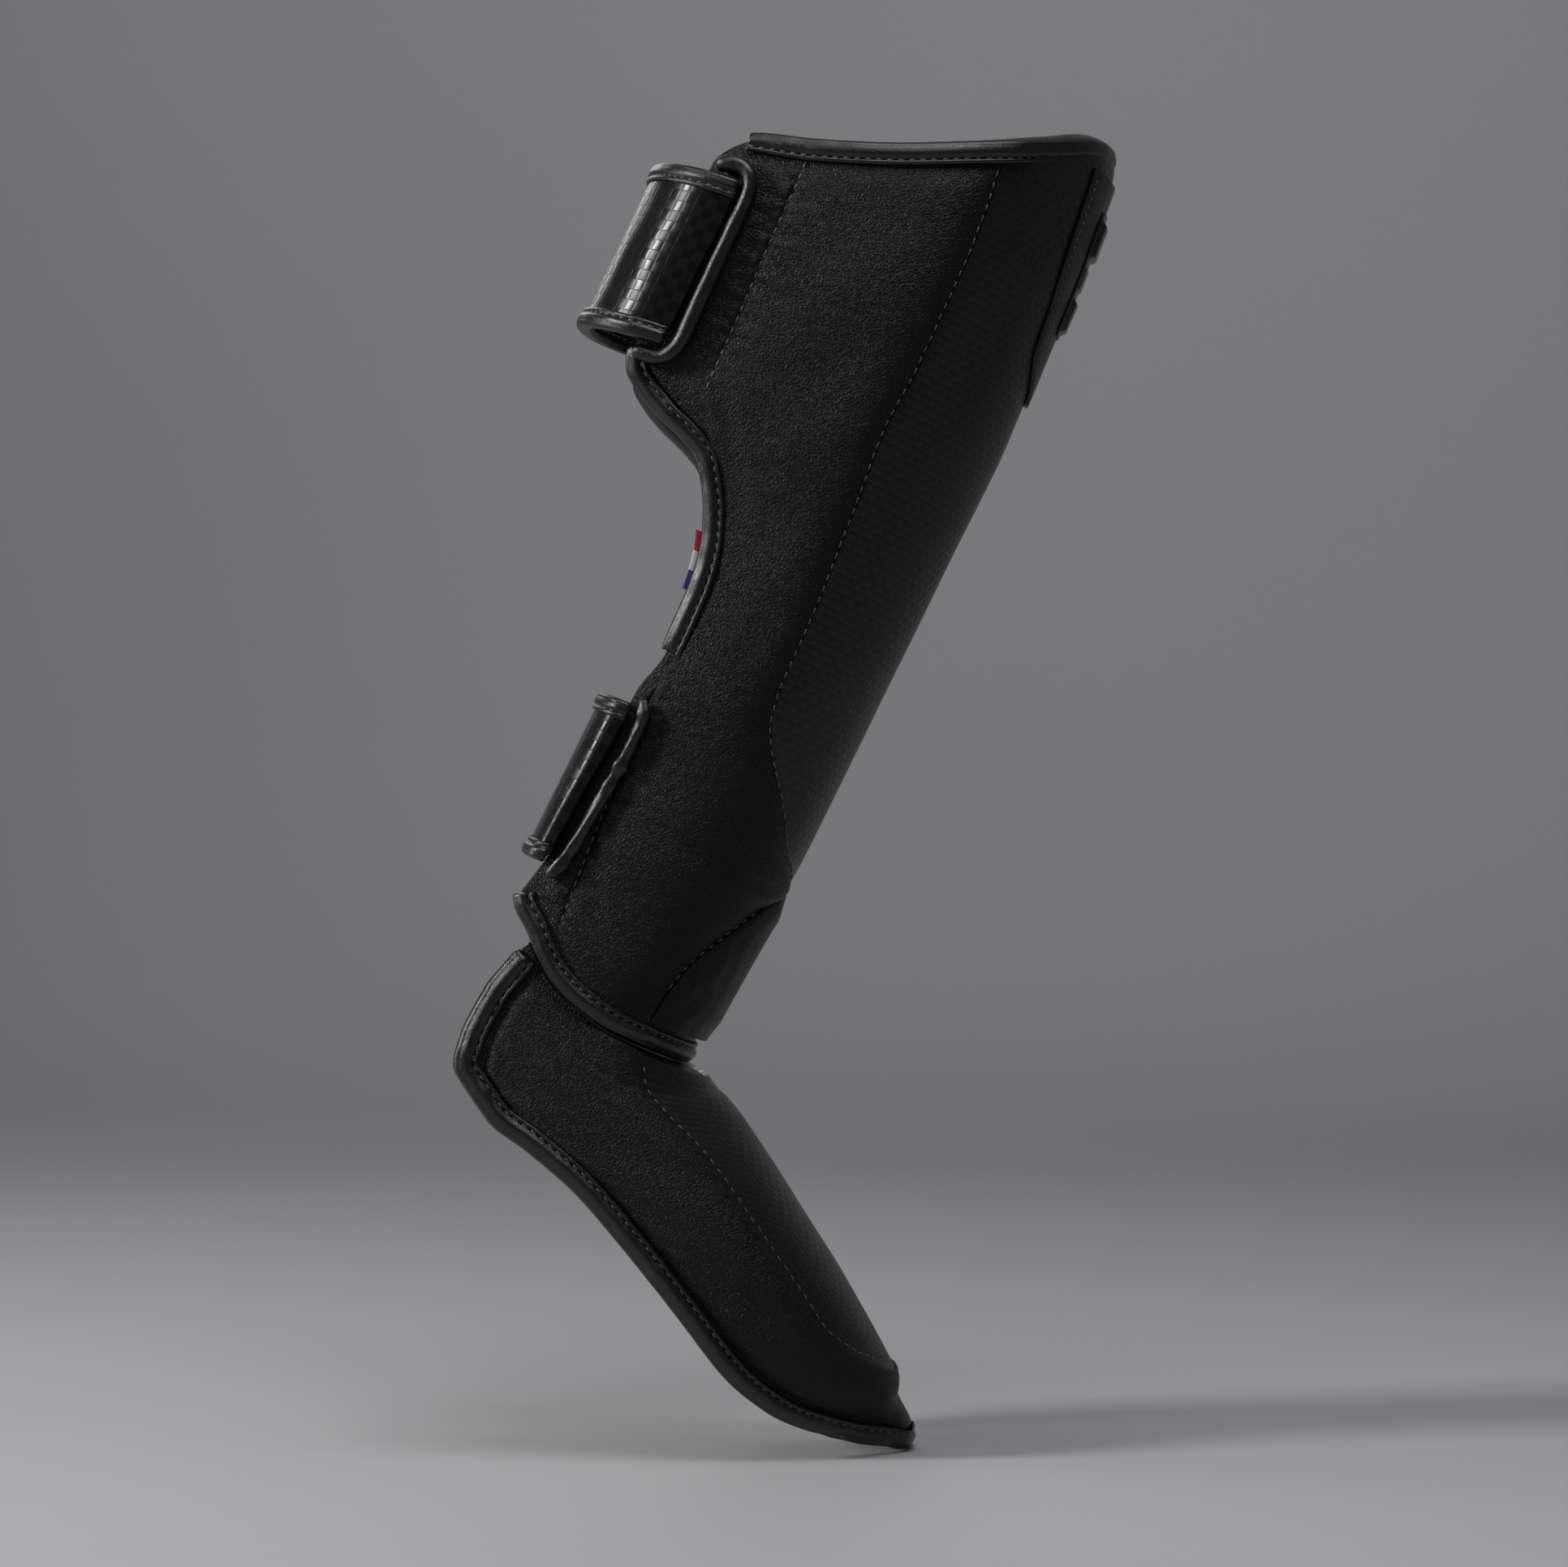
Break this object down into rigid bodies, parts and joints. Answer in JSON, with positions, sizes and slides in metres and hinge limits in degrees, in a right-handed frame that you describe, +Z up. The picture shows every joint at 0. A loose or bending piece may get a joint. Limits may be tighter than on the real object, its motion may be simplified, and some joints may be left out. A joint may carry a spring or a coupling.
{
  "type": "shin and instep guard",
  "caption": "Padded leather shin guard with winged calf, hinged instep pad, two calf straps and a band under the foot.",
  "frame": {"origin": "mount leg_seat: the inner face of the shin pad's front wall, half way down the shin, on the plane of symmetry", "axes": "+Z up as in the picture with the toe edge lowest, +X to the toe side, -Y the outer side of a right leg, which faces the camera"},
  "size_m": [0.2589, 0.141, 0.5124],
  "materials": {
    "leather": "semi-gloss grained",
    "embossed_leather": "embossed weave, satin",
    "smooth_leather": "satin, stitched",
    "moulded_rubber": "matt",
    "woven_strap": "coarse weave",
    "woven_tag": "three plain colour stripes",
    "elastic": "ribbed elastic"
  },
  "bodies": {
    "root": {"shin_shell": "leather", "shin_front_panel": "embossed_leather", "badge_panel": "smooth_leather", "badge": "moulded_rubber", "ankle_patch": "leather", "binding_top": "smooth_leather", "binding_calf_outer": "smooth_leather", "binding_calf_inner": "smooth_leather", "binding_bottom": "smooth_leather", "strap_upper": "woven_strap", "strap_upper_edge_top": "smooth_leather", "strap_upper_edge_bottom": "smooth_leather", "strap_upper_frame": "smooth_leather", "strap_lower": "woven_strap", "strap_lower_edge_top": "smooth_leather", "strap_lower_edge_bottom": "smooth_leather", "strap_lower_frame": "smooth_leather", "tag": "woven_tag", "foot_shell": "leather", "foot_front_panel": "embossed_leather", "foot_binding": "smooth_leather", "sole_strap": "elastic"}
  },
  "joints": []
}
